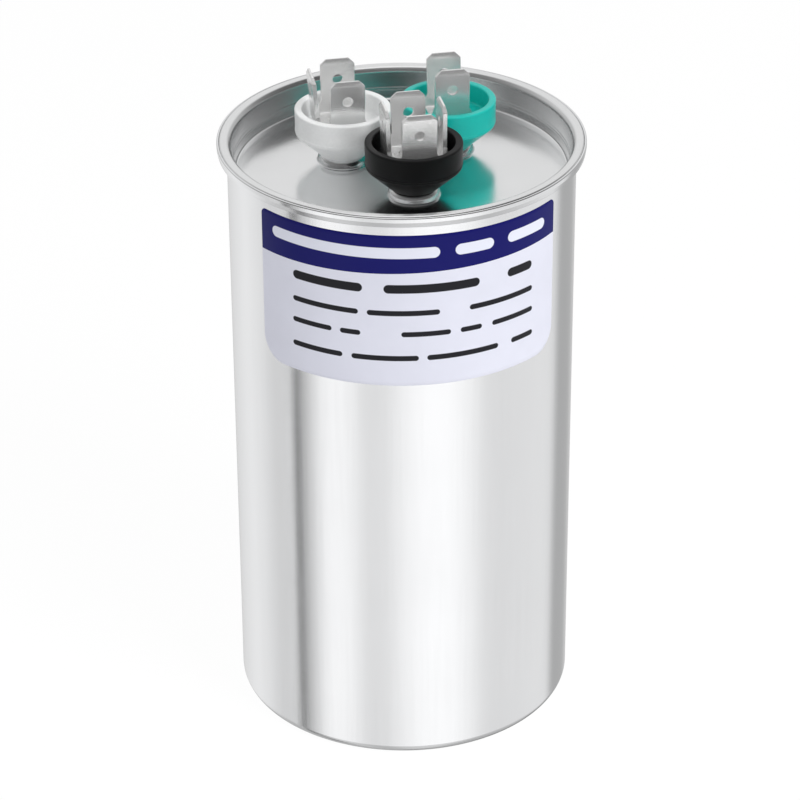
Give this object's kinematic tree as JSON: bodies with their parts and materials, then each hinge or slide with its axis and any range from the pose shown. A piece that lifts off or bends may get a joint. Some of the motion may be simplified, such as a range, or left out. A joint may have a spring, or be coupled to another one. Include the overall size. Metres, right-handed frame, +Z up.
{
  "type": "motor run capacitor",
  "caption": "Round metal-can motor run capacitor with a crimped lid and three insulated cup terminals carrying folded push-on tabs",
  "frame": {"origin": "centre of the can's flat base, on the can's axis", "axes": "+Z up the can's axis to the terminals, -Y towards the four-tab common terminal"},
  "size_m": [0.0672, 0.067, 0.1256],
  "materials": {
    "can_metal": "satin drawn aluminium with a faint upright grain",
    "lid_metal": "bright, slightly hazy pressed sheet",
    "label": "smooth coated label, pale lavender with a dark blue head band and plain bars",
    "black_cup": "moulded, satin",
    "white_cup": "moulded, satin",
    "green_cup": "moulded, satin",
    "tab_metal": "tinned, satin and slightly speckled",
    "rivet_metal": "tinned",
    "lug_brass": "tinned brass",
    "rubber": "moulded",
    "black_wire": "insulation",
    "white_wire": "insulation",
    "green_wire": "insulation",
    "disc_board": "pressed board",
    "moulding": "moulded",
    "film": "metallised film roll",
    "zinc": "sprayed zinc"
  },
  "bodies": {
    "root": {"can": "can_metal", "lid": "lid_metal", "seam_gasket": "rubber", "label": "label", "common_cup": "black_cup", "compressor_cup": "white_cup", "fan_cup": "green_cup", "common_tabs": "tab_metal", "compressor_tabs": "tab_metal", "fan_tabs": "tab_metal", "common_rivet": "rivet_metal", "compressor_rivet": "rivet_metal", "fan_rivet": "rivet_metal", "common_bush": "rubber", "compressor_bush": "rubber", "fan_bush": "rubber", "common_lug": "lug_brass", "compressor_lug": "lug_brass", "fan_lug": "lug_brass", "common_lead": "black_wire", "compressor_lead": "white_wire", "fan_lead": "green_wire", "interrupter_disc": "disc_board", "top_spacer": "moulding", "small_winding": "film", "small_core": "moulding", "small_top_spray": "zinc", "small_bottom_spray": "zinc", "common_link": "zinc", "separator": "moulding", "large_winding": "film", "large_core": "moulding", "large_top_spray": "zinc", "large_bottom_spray": "zinc", "bottom_tray": "moulding"}
  },
  "joints": []
}
